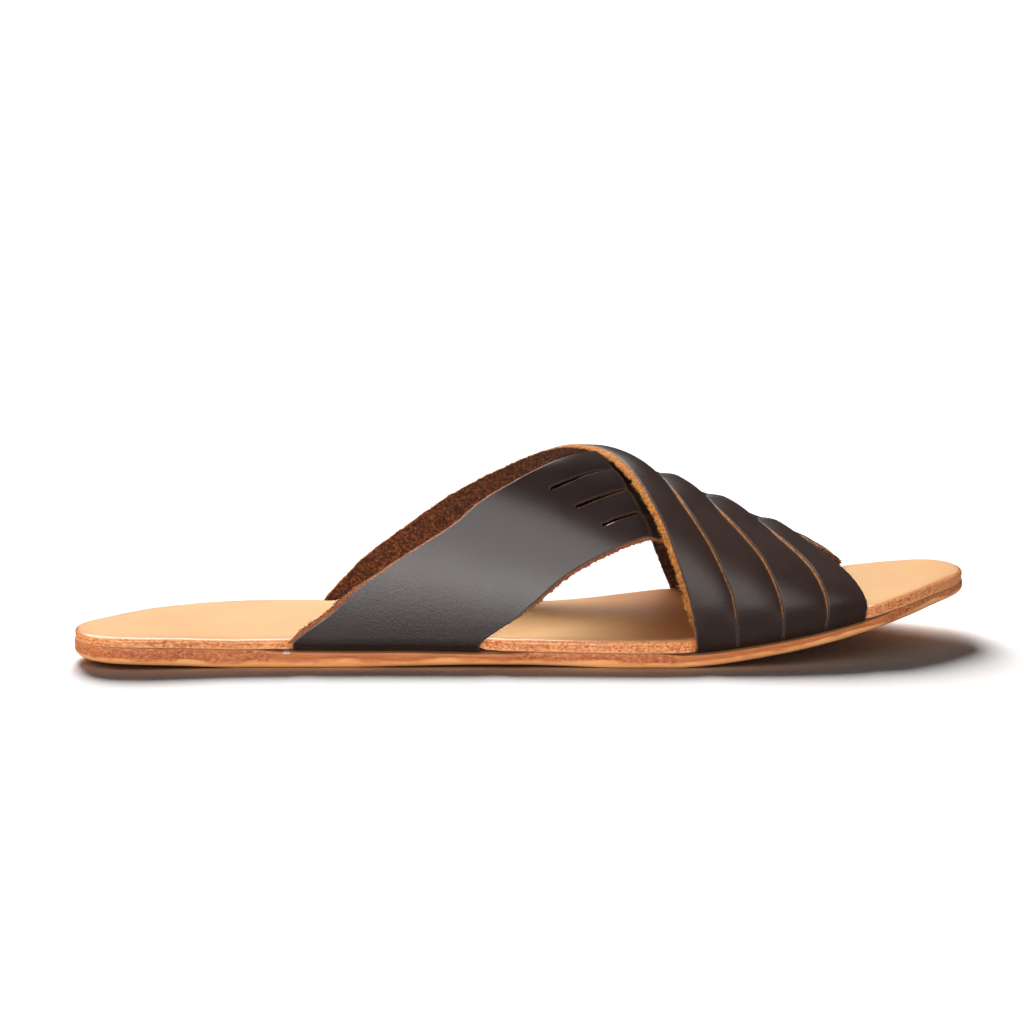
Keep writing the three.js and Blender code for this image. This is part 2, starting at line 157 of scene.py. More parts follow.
lat_edge = curve(OUTLINE, "x", "lat", along)
med_edge = curve(OUTLINE, "x", "med", along)
outsole_t = curve(LAYERS, "x", "outsole")
insole_t = curve(LAYERS, "x", "insole")
arch_z = curve(LAYERS, "x", "arch")
toe_z = curve(TOE_SPRING, "u", "z")
heel_z = curve(HEEL_LIFT, "u", "z")
ridge_y = curve(LAST, "x", "ridgeY")
ridge_z = curve(LAST, "x", "ridgeZ")
full_lat = curve(LAST, "x", "fullLat")
full_med = curve(LAST, "x", "fullMed")
EDGE = {k: curve(STRAPS, "turn", k) for k in ("aRear", "aFront", "bRear", "bFront")}


def slit_lines(rear, front, rows):
    fr = [curve(rows, "turn", k) for k in ("one", "two", "three")]
    lines = [EDGE[rear]]
    for f in fr:
        lines.append(lambda t, f=f: EDGE[rear](t) + (EDGE[front](t) - EDGE[rear](t)) * f(t))
    lines.append(EDGE[front])
    return lines


LINE_A = slit_lines("aRear", "aFront", SLITS_A)
LINE_B = slit_lines("bRear", "bFront", SLITS_B)


def floor_z(x, y):
    return toe_z(x - TOE_SKEW * y) + heel_z(-x - HEEL_SKEW * y) + arch_z(x)


def seat_of(side, rear, front):
    turns = np.array([0, UPRIGHT] if side < 0 else [180, 180 - UPRIGHT], float)
    return side, float(EDGE[rear](turns).min()), float(EDGE[front](turns).max())


SEATS = [seat_of(-1, "aRear", "aFront"), seat_of(-1, "bRear", "bFront"), seat_of(1, "bRear", "bFront"), seat_of(1, "aRear", "aFront")]


def seat(x, side, depth):
    w = np.zeros(np.broadcast(x, side).shape)
    for s, a, b in SEATS:
        out = np.maximum(np.maximum(a - 1.5 - x, x - b - 1.5), 0)
        w = np.where(side == s, np.maximum(w, smooth(1 - out / RAMP)), w)
    return w * smooth((TAIL + 15 - depth) / 12)


def lifted(x, side, depth):
    """how far the insole is raised by a strap's tail, all of it only a little way in from the strap's edge"""
    w = np.zeros(np.broadcast(x, side).shape)
    for s, a, b in SEATS:
        out = np.maximum(np.maximum(a + 8.0 - x, x - b + 8.0), 0)
        w = np.where(side == s, np.maximum(w, smooth(1 - out / 7.0) ** 1.4), w)
    return w * smooth((TAIL + 15 - depth) / 12)


class Waves:
    """smooth seeded noise along one or two lengths, about -1 to 1"""

    def __init__(self, low, high, count=24, dims=1):
        k = np.exp(rng.uniform(np.log(low), np.log(high), count))
        d = rng.normal(size=(count, dims))
        d /= np.linalg.norm(d, axis=1)[:, None]
        self.k = d * (2 * np.pi / k)[:, None]
        self.p = rng.uniform(0, 2 * np.pi, count)
        self.n = math.sqrt(2.0 / count)

    def __call__(self, *v):
        a = self.p.reshape((1,) * np.asarray(v[0]).ndim + (-1,))
        for i, c in enumerate(v):
            a = a + np.asarray(c)[..., None] * self.k[:, i]
        return np.sin(a).sum(-1) * self.n * 0.7


# ------------------------------------------------------------------ meshes
def make_object(name, verts, faces, materials, face_mats=None, attrs=None, sharp=None):
    """verts in mm in the tables' frame; faces is an (n, 4) array with -1 in the last column for triangles"""
    v = np.array(verts, float).copy()
    v[:, 1] -= CENTRE_Y
    v *= MM
    f = np.asarray(faces)
    tri = f[:, 3] < 0
    sizes = np.where(tri, 3, 4)
    loops = f.ravel()[(f.ravel() >= 0)]
    me = bpy.data.meshes.new(name)
    me.vertices.add(len(v))
    me.vertices.foreach_set("co", v.astype(np.float32).ravel())
    me.loops.add(len(loops))
    me.loops.foreach_set("vertex_index", loops.astype(np.int32))
    me.polygons.add(len(f))
    me.polygons.foreach_set("loop_start", np.concatenate([[0], np.cumsum(sizes)[:-1]]).astype(np.int32))
    me.polygons.foreach_set("loop_total", sizes.astype(np.int32))
    if face_mats is not None:
        me.polygons.foreach_set("material_index", np.asarray(face_mats, np.int32))
    me.polygons.foreach_set("use_smooth", np.ones(len(f), bool))
    me.update(calc_edges=True)
    me.validate()
    for k, a in (attrs or {}).items():
        at = me.attributes.new(k, "FLOAT", "POINT")
        at.data.foreach_set("value", np.asarray(a, np.float32))
    if sharp is not None:
        me.set_sharp_from_angle(angle=math.radians(sharp))
    o = bpy.data.objects.new(name, me)
    for m in materials:
        me.materials.append(m)
    scene.collection.objects.link(o)
    return o


# ------------------------------------------------------------------ sole outline, in even steps round the rim
def rim_ring(step):
    """stations shared by both sides: heel tip, lateral side, toe tip, medial side"""
    a = np.linspace(0, np.pi, 6001)
    xs = -LENGTH / 2 * np.cos(a)
    run = [np.concatenate([[0], np.cumsum(np.hypot(np.diff(xs), np.diff(e(xs))))]) for e in (lat_edge, med_edge)]
    both = run[0] / 2 + run[1] / 2
    n = int(both[-1] / step)
    q = np.interp(np.linspace(0, both[-1], n + 1), both, xs)
    q[0], q[-1] = -LENGTH / 2, LENGTH / 2
    x = np.concatenate([q[:-1], q[:0:-1]])
    side = np.concatenate([-np.ones(n), np.ones(n)])
    y = np.where(side < 0, lat_edge(x), med_edge(x))
    seg = np.hypot(np.diff(x), np.diff(y))
    return x, y, side, np.concatenate([[0], np.cumsum(seg)])


RX, RY, RSIDE, RARC = rim_ring(1.0)
NR = len(RX)
SX = np.clip(RX, -SPINE, SPINE)
SY = (lat_edge(SX) + med_edge(SX)) / 2
RD = np.hypot(SX - RX, SY - RY)
SEAT0 = seat(RX, RSIDE, 0)
_rim_slope = np.where(RSIDE < 0, lat_edge(RX + 1) - lat_edge(RX - 1), med_edge(RX + 1) - med_edge(RX - 1)) / 2
FLARE = (PROUD + 0.2) * SEAT0


def beside(reach):
    w = np.zeros(NR)
    for s, a, b in SEATS:
        out = np.maximum(np.maximum(a + 1.0 - RX, RX - b + 1.0), 0)
        w = np.where(RSIDE == s, np.maximum(w, smooth(1 - out / reach)), w)
    return w


TUCK = -0.2 - (((STRAP + GAP) * np.hypot(1, _rim_slope) - PROUD) - 0.2) * beside(3.2)


def rim_at(depth, outset):
    """points at a distance in from the rim; a depth under 0 is that fraction of the way to the middle"""
    t = -depth if depth < 0 else (depth - outset) / RD
    return RX + (SX - RX) * t, RY + (SY - RY) * t


def rings_mesh(rings):
    """each ring: x, y, z arrays and its attributes, from the top middle over the edge to the bottom middle"""
    k = len(rings)
    v = np.concatenate([np.stack([r["x"], r["y"], r["z"]], 1) for r in rings])
    att = {}
    for name in rings[0]["a"]:
        att[name] = np.concatenate([np.broadcast_to(r["a"][name], NR) for r in rings])
    f = []
    j = np.arange(NR)
    j2 = (j + 1) % NR
    for i in range(k - 1):
        a, b, c, d = i * NR + j, i * NR + j2, (i + 1) * NR + j, (i + 1) * NR + j2
        f.append(np.stack([a, c, d, b], 1))
    return weld(v, np.concatenate(f), att)


def weld(v, f, att, mats=None):
    key = np.round(v * 2e3).astype(np.int64)
    _, first, inv = np.unique(key, axis=0, return_index=True, return_inverse=True)
    inv = inv.ravel()
    f = np.where(f >= 0, inv[np.maximum(f, 0)], -1)
    out, om = [], []
    keep3 = []
    good = np.ones(len(f), bool)
    for n in range(len(f)):
        q = f[n]
        u = []
        for e in q:
            if e >= 0 and e not in u:
                u.append(e)
        if len(u) < 3:
            good[n] = False
            continue
        if len(u) == 3:
            f[n] = (u[0], u[1], u[2], -1)
    f = f[good]
    m = None if mats is None else np.asarray(mats)[good]
    return v[first], f, {k: a[first] for k, a in att.items()}, m


def outsole_top(x, y, side, depth):
    return floor_z(x, y) + outsole_t(x) - DIP * seat(x, side, depth)


def insole_low(x, y, side, depth):
    return floor_z(x, y) + outsole_t(x) + GAP * 0.35 + (LIFT - 0.1) * lifted(x, side, depth)


def insole_high(x, y, side, depth):
    return floor_z(x, y) + outsole_t(x) + GAP * 0.35 + insole_t(x) + 0.75 * lifted(x, side, depth)


rough_a = Waves(1.2, 9, 40, 2)
rough_b = Waves(0.9, 4, 40, 2)
slow = Waves(25, 90, 10)
slow2 = Waves(14, 60, 10)


def edge_noise(v, amp):
    """small unevenness of a hand-cut leather edge, along the rim and down it"""
    return amp * (0.6 * rough_a(RARC, v * np.ones(NR) * 1.7) + 0.4 * rough_b(RARC, v * np.ones(NR) * 2.5))


def build_outsole():
    rings = []

    def add(depth, outset, z, **a):
        x, y = rim_at(depth, outset)
        z = z(x, y)
        rings.append({"x": x, "y": y, "z": z, "a": a})

    base = dict(seat=SEAT0, arc=RARC)
    for fr in (-1.0, -0.90, -0.82, -0.74):
        add(fr, 0, lambda x, y, fr=fr: outsole_top(x, y, RSIDE, -fr * RD), side=0, h=0, deep=30, **base)
    for d in (15, 11, 8, 5.5, 3.5, 2.0, 1.1, 0.6):
        add(d, FLARE if d < 8 else 0, lambda x, y, d=d: outsole_top(x, y, RSIDE, d), side=0, h=0, deep=d, **base)
    # from the top corner down to the start of the rounded foot
    foot = 2.3 + 0.35 * slow(RARC) + 0.7 * smooth((RX + 110) / 25) * smooth((-40 - RX) / 30)
    for u in np.linspace(0, 1, 17):
        def z(x, y, u=u):
            top = outsole_top(x, y, RSIDE, 0) - 0.02
            low = floor_z(x, y) + foot
            return top + (low - top) * u
        corner = 0.10 * (1 - min(u / 0.12, 1)) ** 2
        belly = 0.25 * math.sin(math.pi * min(1, u * 1.05))
        w = math.sin(math.pi * min(max(u, 0.04), 0.96)) ** 0.5
        n = edge_noise(u * 3.0, 0.055) * w
        add(0.0, FLARE * (1 - 0.2 * u) - corner + belly * 0.5 - 0.1 + n, z, side=1, h=0.62 * u, deep=0, **base)
    # the rounded foot of the edge, burnished smooth
    for i, a in enumerate(np.radians([8, 18, 28, 38, 48, 58, 68, 78, 90])):
        def z(x, y, a=a):
            return floor_z(x, y) + foot * (1 - math.sin(a))
        add(0.0, FLARE * 0.8 + 0.05 - 2.5 * (1 - math.cos(a)), z, side=1, h=0.62 + 0.38 * (i + 1) / 9, deep=0, **base)
    for d in (4.5, 8, 15):
        add(d, 0, lambda x, y: floor_z(x, y), side=1, h=1.02, deep=d, **base)
    for fr in (-0.74, -0.86, -1.0):
        add(fr, 0, lambda x, y: floor_z(x, y), side=1, h=1.1, deep=30, **base)
    for ring in rings:
        ring["a"]["glue"] = np.exp(-((RX + 80.5) / 1.2) ** 2) * (RSIDE < 0) * (abs(ring["a"]["h"] - 0.02) < 0.07)
    return rings_mesh(rings)


def build_insole():
    rings = []

    def add(depth, outset, z, **a):
        x, y = rim_at(depth, outset)
        rings.append({"x": x, "y": y, "z": z(x, y), "a": a})

    base = dict(seat=SEAT0, arc=RARC)
    wavy = Waves(30, 110, 12, 2)
    for fr in (-1.0, -0.93, -0.86, -0.80, -0.74):
        add(fr, 0, lambda x, y, fr=fr: insole_high(x, y, RSIDE, -fr * RD) + 0.12 * wavy(x, y) - 0.12, side=0, h=0, deep=30, **base)
    for d in (15, 13, 11, 9.3, 7.8, 6.5, 5.4, 4.4, 3.6, 2.9, 2.3):
        def z(x, y, d=d):
            dish = -0.12 * smooth(d / 9.0) + 0.10 * math.exp(-((d - 3.0) / 1.6) ** 2)
            return insole_high(x, y, RSIDE, d) + dish + 0.12 * wavy(x, y) * smooth(d / 12)
        add(d, TUCK * smooth((8 - d) / 3), z, side=0, h=0, deep=d, **base)
    for i, a in enumerate(np.radians([82, 72, 62, 52, 42, 32, 22, 12, 2])):
        rx, rz = 1.75, 1.25 + 0.15 * slow2(RARC)
        def z(x, y, a=a):
            return insole_high(x, y, RSIDE, 0) - rz * (1 - math.sin(a)) + 0.05 * math.sin(a)
        add(0.0, TUCK - rx * (1 - math.cos(a)) + edge_noise(i * 0.3, 0.02 * math.cos(a)), z, side=(i + 1) / 9, h=0.05 + 0.03 * i, deep=rx * (1 - math.cos(a)), **base)
    for u in np.linspace(0.06, 1, 14):
        def z(x, y, u=u):
            top = insole_high(x, y, RSIDE, 0) - rz
            low = insole_low(x, y, RSIDE, 0) + 0.03
            return top + (low - top) * u
        w = math.sin(math.pi * min(u, 0.97)) ** 0.5
        n = edge_noise(9 + u * 3.0, 0.05) * w
        under = -0.12 * max(0.0, (u - 0.9) / 0.1) ** 1.5
        add(0.0, TUCK - 0.05 - 0.12 * math.sin(math.pi * u) + n + under, z, side=1, h=0.32 + 0.68 * u, deep=0, **base)
    for d in (0.7, 1.6, 3.2, 5.5, 9, 15):
        add(d, TUCK * smooth((8 - d) / 3), lambda x, y, d=d: insole_low(x, y, RSIDE, d), side=1, h=1.0, deep=d, **base)
    for fr in (-0.74, -0.82, -0.90, -1.0):
        add(fr, 0, lambda x, y, fr=fr: insole_low(x, y, RSIDE, -fr * RD), side=1, h=1.0, deep=30, **base)
    for ring in rings:
        # painted shade: darker from the window between the straps towards and under the front strap, where the straps
        # shade the insole; past it, a slightly darker tone towards the toe
        ring["a"]["worn"] = (smooth((ring["x"] + 4 - 0.12 * ring["y"]) / 54) * (1 - smooth((ring["x"] - 88) / 9)) + 0.22 * smooth((ring["x"] - 88) / 12)) * np.ones(NR)
    return rings_mesh(rings)


# ------------------------------------------------------------------ the last and the straps over it
def last_point(x, turn):
    x, turn = np.broadcast_arrays(np.asarray(x, float), np.asarray(turn, float))
    near = turn <= 90
    side = np.where(near, -1.0, 1.0)
    t = np.where(near, turn, 180 - turn)
    rim = np.where(near, lat_edge(x), med_edge(x))
    y0 = rim + side * PROUD
    z0 = floor_z(x, rim) + outsole_t(x) - DIP + GAP + BEND
    a = np.radians(np.maximum(t, 0))
    e = 2 / np.where(near, full_lat(x), full_med(x))
    ry = ridge_y(x)
    y = ry + (y0 - ry) * np.maximum(0, np.cos(a)) ** e
    z = z0 + (ridge_z(x) - z0) * np.maximum(0, np.sin(a)) ** e
    b = np.clip(-t / 10, 0, 1) * (np.pi / 2)
    run = np.maximum((-t - 10) / 10, 0) * (TAIL - BEND)
    yb = y0 - side * (BEND * (1 - np.cos(b)) + run)
    zb = z0 - BEND * np.sin(b) + floor_z(x, yb) - floor_z(x, rim)
    return np.stack([x, np.where(t >= 0, y, yb), np.where(t >= 0, z, zb)], -1)


def last_frame(x, turn):
    h = 0.05
    du = last_point(x + h, turn) - last_point(x - h, turn)
    dv = last_point(x, turn + h) - last_point(x, turn - h)
    n = np.cross(du, dv)
    n /= np.linalg.norm(n, axis=-1)[..., None]
    fwd = du - (du * n).sum(-1)[..., None] * n
    fwd /= np.linalg.norm(fwd, axis=-1)[..., None]
    dvn = dv / np.linalg.norm(dv, axis=-1)[..., None]
    return n, fwd, dvn


CROSS = 4.5  # half the run over which a strip passes through the other strap


def rise(v, w=CROSS):
    return smooth((v + w) / (2 * w))


def band(v, lo, hi, soft=2.0):
    return smooth((v - lo + soft) / (2 * soft)) * smooth((hi - v + soft) / (2 * soft))


def offset_a(i, x, t):
    dive = smooth((x - LINE_B[0](t) + 9) / 8)
    out = x - LINE_B[i + 1](t)
    off = -STRAP * dive * (1 - smooth((out + 1) / 8))
    near = x - LINE_B[0](t)
    off = off - 1.7 * smooth((near + 7.5) / 7) * (1 - smooth((near - 3) / 9)) * smooth((112 - t) / 14)
    if i > 0:
        off = off - STRAP * (1 - rise(x - LINE_A[i](t))) * band(x, LINE_B[i](t), LINE_B[i + 1](t))
    if i < 3:
        off = off + STRAP * rise(x - LINE_A[i + 1](t)) * band(x, LINE_B[i + 1](t), LINE_B[i + 2](t)) * smooth((t - 92) / 8)
    return off


def offset_b(j, x, t):
    off = np.zeros_like(x)
    if j > 0:
        dive = smooth((x - LINE_A[0](t) + 13) / 11) * smooth((t - 80) / 6)
        off = -STRAP * dive * (1 - rise(x - LINE_A[j](t)))
        off = off - STRAP * (1 - smooth((x - LINE_B[j](t) + 1) / 8)) * band(x, LINE_A[j - 1](t), LINE_A[j](t)) * smooth((t - 84) / 6)
    else:
        off = off + 0.45 * np.exp(-(x - LINE_B[0](t)) / 4.0) * smooth((x - LINE_A[0](t) + 4) / 8) * smooth((96 - t) / 10)
    # pillows on the ridge, where each strip of b lies on its own strip of a
    u = np.clip((x - LINE_B[j](t)) / (LINE_B[j + 1](t) - LINE_B[j](t)), 0, 1)
    return off + (1.25 * np.sin(math.pi * u**0.85) - 0.2) * smooth((t - 62) / 20) * smooth((112 - t) / 14)


CORNER = 0.34
ACROSS_EDGE = np.array([0, 0.06, 0.16, 0.3, 0.5, 0.85, 1.4, 2.2])  # mm in from a cut edge


def build_strap(lines, slit_ends, opens_near, offset, swell, slant):
    """one strap as four strips that part along its slits; opens_near: the slits run out at the lateral edge;
    slant: how far the raw edge leans out below the grain, at the rear edge, in the slits and at the front edge"""
    base = [np.linspace(-20, -10, 6)[:-1], np.linspace(-10, 0, 9)[:-1], np.linspace(0, 180, 226), np.linspace(180, 190, 9)[1:], np.linspace(190, 200, 6)[1:]]
    for e in slit_ends:
        base.append(np.linspace(e - 1.5, e + 1.5, 41))
    T = np.unique(np.round(np.concatenate(base), 3))
    T = T[np.concatenate([[True], np.diff(T) > 0.05])]
    TC = np.clip(T, 0, 180)
    R = len(T)
    # how far the slit lines are open at each row, and their half width there
    opens, halves = [], []
    for k in range(3):
        e = slit_ends[k]
        s = (e - T) if opens_near else (T - e)  # degrees past the slit's end
        line = lines[k + 1](TC)
        p = last_point(line, TC)
        dp = np.gradient(p, axis=0) / np.maximum(np.gradient(T), 1e-3)[:, None]
        rate = np.maximum(np.linalg.norm(dp, axis=1), 0.6)
        slope = np.gradient(line, np.maximum.accumulate(TC + np.arange(R) * 1e-6))
        perp = np.clip(np.sqrt(np.maximum(rate**2 - slope**2, 0.05)) / rate, 0.45, 1)
        run = s * rate
        r = 0.42
        at_end = int(np.argmin(np.abs(T - e)))
        lift = math.sqrt(max(rate[at_end] ** 2 - slope[at_end] ** 2, 0.05))  # mm per degree across the rows
        dy = (T - e) * lift
        w = np.sqrt(np.maximum(r * r - dy * dy, 0)) * (np.abs(dy) < r)
        shift = line - lines[k + 1](np.array(float(e)))
        ridge = smooth((T - 70) / 9) * smooth((110 - T) / 9)
        if opens_near:
            slit = (0.16 + 0.22 * np.exp(-np.maximum(run, 0) / 9.0)) * (0.9 + 0.1 * np.cos(run * 0.3 + k))
            slit = np.maximum(slit * (1 - ridge), 0.02)
        else:
            slit = (0.44 + 0.14 * smooth(run / 12)) * (0.94 + 0.06 * np.cos(run * 0.3 + k))
        h = np.where(run > 0, slit / perp, 0)
        left = np.maximum(h, np.where(w > 0, w + shift, 0))
        right = np.maximum(h, np.where(w > 0, w - shift, 0))
        halves.append((left, right, (left + right) > 1e-9))
        opens.append(smooth((run - 0.2) / 12.0))
    wob = [Waves(3, 14, 18) for _ in range(5)]
    fine = [Waves(0.7, 2.4, 26) for _ in range(8)]
    V, F, M, A = [], [], [], {"u": [], "t": [], "edge": [], "lip": []}
    count = 0
    edges = []
    for k in range(4):
        L, Rr = lines[k](TC).copy(), lines[k + 1](TC).copy()
        arc = T * 1.15
        if k > 0:
            L += halves[k - 1][1] + 0.04 * wob[k](arc) * opens[k - 1]
        else:
            L += 0.05 * wob[k](arc) + 0.03 * fine[0](arc)
        if k < 3:
            Rr -= halves[k][0] - 0.04 * wob[k + 1](arc) * opens[k]
        else:
            Rr += 0.05 * wob[4](arc) + 0.03 * fine[1](arc)
        oL = np.ones(R) if k == 0 else opens[k - 1]
        oR = np.ones(R) if k == 3 else opens[k]
        cutL = np.ones(R, bool) if k == 0 else halves[k - 1][2]
        cutR = np.ones(R, bool) if k == 3 else halves[k][2]
        bulge = (opens[k - 1] if k > 0 else opens[k]) * 0.5 + (opens[k] if k < 3 else opens[k - 1]) * 0.5
        W = Rr - L
        inner = np.linspace(0, 1, 11)[1:-1]
        # distances from the rear edge for the columns, cut-edge columns first
        cols = [np.broadcast_to(d, R) for d in ACROSS_EDGE]
        a, b = ACROSS_EDGE[-1], W - ACROSS_EDGE[-1]
        cols += [a + (b - a) * u for u in inner]
        cols += [W - d for d in ACROSS_EDGE[::-1]]
        D = np.stack(cols, 1)  # R x C
        C = D.shape[1]
        X = L[:, None] + D
        Tm = np.broadcast_to(T[:, None], X.shape)
        Tc = np.clip(Tm, 0, 180)
        U = D / W[:, None]
        n, fwd, dv = last_frame(X, Tm)
        p = last_point(X, Tm)
        dL, dR = D, W[:, None] - D
        live = smooth((Tm + 2) / 6) * smooth((182 - Tm) / 6)
        off = offset(k, X, Tc) * live
        hump = swell * bulge[:, None] * (1 - (2 * U - 1) ** 2) ** 0.85
        tilt = 0.42 * oL[:, None] * (k > 0) * np.exp(-D / 3.0) - 0.42 * oR[:, None] * (k < 3) * np.exp(-(W[:, None] - D) / 3.0)
        flat = 1 - (smooth((T - 62) / 14) * smooth((112 - T) / 10))[:, None] if opens_near else 1
        shape = (hump + tilt * flat) * smooth((Tm - 3) / 12) * smooth((177 - Tm) / 12)
        crest = (smooth((T - 48) / 28) * smooth((118 - T) / 10))[:, None] * (1.0 if opens_near else 0.5)
        in_slit = 1.0 if opens_near else 0.45
        rl = CORNER * (in_slit if k > 0 else 1) * (1 - 0.92 * crest) * oL[:, None] * (cutL[:, None])
        rr = CORNER * (in_slit if k < 3 else 1) * (1 - 0.92 * crest) * oR[:, None] * (cutR[:, None])

        def corner(r, d):
            r = np.maximum(r, 1e-6)
            q = np.clip((r - d) / r, 0, 1)
            return r * (1 - np.sqrt(np.maximum(1 - q * q, 0)))

        top = off + shape - corner(rl, dL) - corner(rr, dR)
        skin = p + n * top[..., None]
        # the flesh side, a little rough
        thick = STRAP - 0.12
        rag = Waves(0.8, 5, 40, 2)
        flesh_off = off + shape - thick + 0.05 * rag(X, Tm * 1.1)
        flesh = p + n * flesh_off[..., None]
        flank = smooth((T - 2.5) / 8) * smooth((177.5 - T) / 8)
        leanL = (slant[0] if k == 0 else slant[1] * oL) * flank
        if k == 0 and not opens_near:
            leanL = slant[0] * (smooth((T + 3) / 5) * smooth((177.5 - T) / 8)) * (0.5 + 1.25 * np.exp(-(((T - 4) / 8) ** 2)))
        leanR = (slant[2] if k == 3 else slant[1] * 0.2 * oR) * flank
        ragL = leanL * (1 + 0.10 * wob[k](arc * 1.3) + 0.07 * fine[2](arc)) * (cutL)
        ragR = leanR * (1 + 0.10 * wob[4](arc * 1.3) + 0.07 * fine[3](arc)) * (cutR)
        shut = smooth((T - 108) / 10) if opens_near else np.ones(R)
        if k > 0:
            ragL = ragL * (1 - shut) + shut * np.maximum(halves[k - 1][1] - 0.05, 0) * 0.94
        if k < 3:
            ragR = ragR * (1 - shut) + shut * np.maximum(halves[k][0] - 0.05, 0) * 0.94
        pull = -ragL[:, None] * np.exp(-(dL / 2.2) ** 2) + ragR[:, None] * np.exp(-(dR / 2.2) ** 2)
        flesh = flesh + fwd * pull[..., None]
        i0 = count
        V.append(skin.reshape(-1, 3))
        V.append(flesh.reshape(-1, 3))
        count += 2 * R * C
        for face in (0, 1):
            A["u"].append(U.ravel())
            A["t"].append(Tm.ravel())
            A["edge"].append(np.minimum(dL + 9 * (~cutL[:, None]), dR + 9 * (~cutR[:, None])).ravel())
            A["lip"].append(np.full(R * C, float(face)))
        gi = np.arange(R - 1)[:, None]
        gj = np.arange(C - 1)[None, :]
        a0 = i0 + gi * C + gj
        quad = np.stack([a0, a0 + 1, a0 + C + 1, a0 + C], -1).reshape(-1, 4)
        F.append(quad)
        M.append(np.zeros(len(quad), int))
        b0 = a0 + R * C
        quad = np.stack([b0, b0 + C, b0 + C + 1, b0 + 1], -1).reshape(-1, 4)
        F.append(quad)
        M.append(np.full(len(quad), 2, int))
        # cut edges: rows of points from the grain corner down to the flesh corner
        for which in (0, 1):
            cut = cutL if which == 0 else cutR
            j = 0 if which == 0 else C - 1
            steps = np.array([0.16, 0.34, 0.52, 0.7, 0.86])
            sgn = -1.0 if which == 0 else 1.0
            fz = Waves(0.5, 2.2, 60, 2)
            bg = Waves(2.0, 8, 20, 2)
            cols_v = [i0 + np.arange(R) * C + j]
            outer = (k == 0 and which == 0) or (k == 3 and which == 1)
            for s in steps:
                pt = skin[:, j] * (1 - s) + flesh[:, j] * s
                belly = 0.10 * math.sin(math.pi * s) + (0.12 if outer else 0.0) * s
                nz = 0.075 * fz(arc, np.full(R, s * 2.0)) + 0.05 * bg(arc, np.full(R, s))
                amt = (belly + nz) * (1.0 if outer else 0.45)
                o = (oL if which == 0 else oR) if not outer else np.ones(R)
                pt = pt + fwd[:, j] * (sgn * amt * np.minimum(1, o * 3 + 0.2))[:, None]
                V.append(pt)
                cols_v.append(count + np.arange(R))
                count += R
                A["u"].append(np.full(R, U[0, j]))
                A["t"].append(T)
                A["edge"].append(np.zeros(R))
                A["lip"].append(np.full(R, s))
            cols_v.append(i0 + R * C + np.arange(R) * C + j)
            cv = np.stack(cols_v, 1)
            ok = cut[:-1] | cut[1:]
            for c in range(cv.shape[1] - 1):
                q = [cv[:-1, c], cv[1:, c], cv[1:, c + 1], cv[:-1, c + 1]]
                if which == 1:
                    q = q[::-1]
                q = np.stack(q, 1)[ok]
                F.append(q)
                M.append(np.full(len(q), 1 if outer else 4, int))
            if outer:
                edges.append((skin[:, j], flesh[:, j], fwd[:, j] * sgn, n[:, j], dv[:, j], T, outer, o, which))
        # tail ends
        for r in (0, R - 1):
            q = [i0 + r * C + np.arange(C - 1), i0 + r * C + np.arange(1, C), i0 + R * C + r * C + np.arange(1, C), i0 + R * C + r * C + np.arange(C - 1)]
            if r == 0:
                q = q[::-1]
            q = np.stack(q, 1)
            F.append(q)
            M.append(np.full(len(q), 1, int))
    v, f, att, m = weld(np.concatenate(V), np.concatenate(F), {k2: np.concatenate(a2) for k2, a2 in A.items()}, np.concatenate(M))
    hv, hf = fibres(edges)
    hf = np.where(hf >= 0, hf + len(v), -1)
    n_h = len(hv)
    v = np.concatenate([v, hv])
    f = np.concatenate([f, hf])
    m = np.concatenate([m, np.full(len(hf), 3)])
    att = {k2: np.concatenate([a2, np.full(n_h, 0.5)]) for k2, a2 in att.items()}
    return v, f, att, m


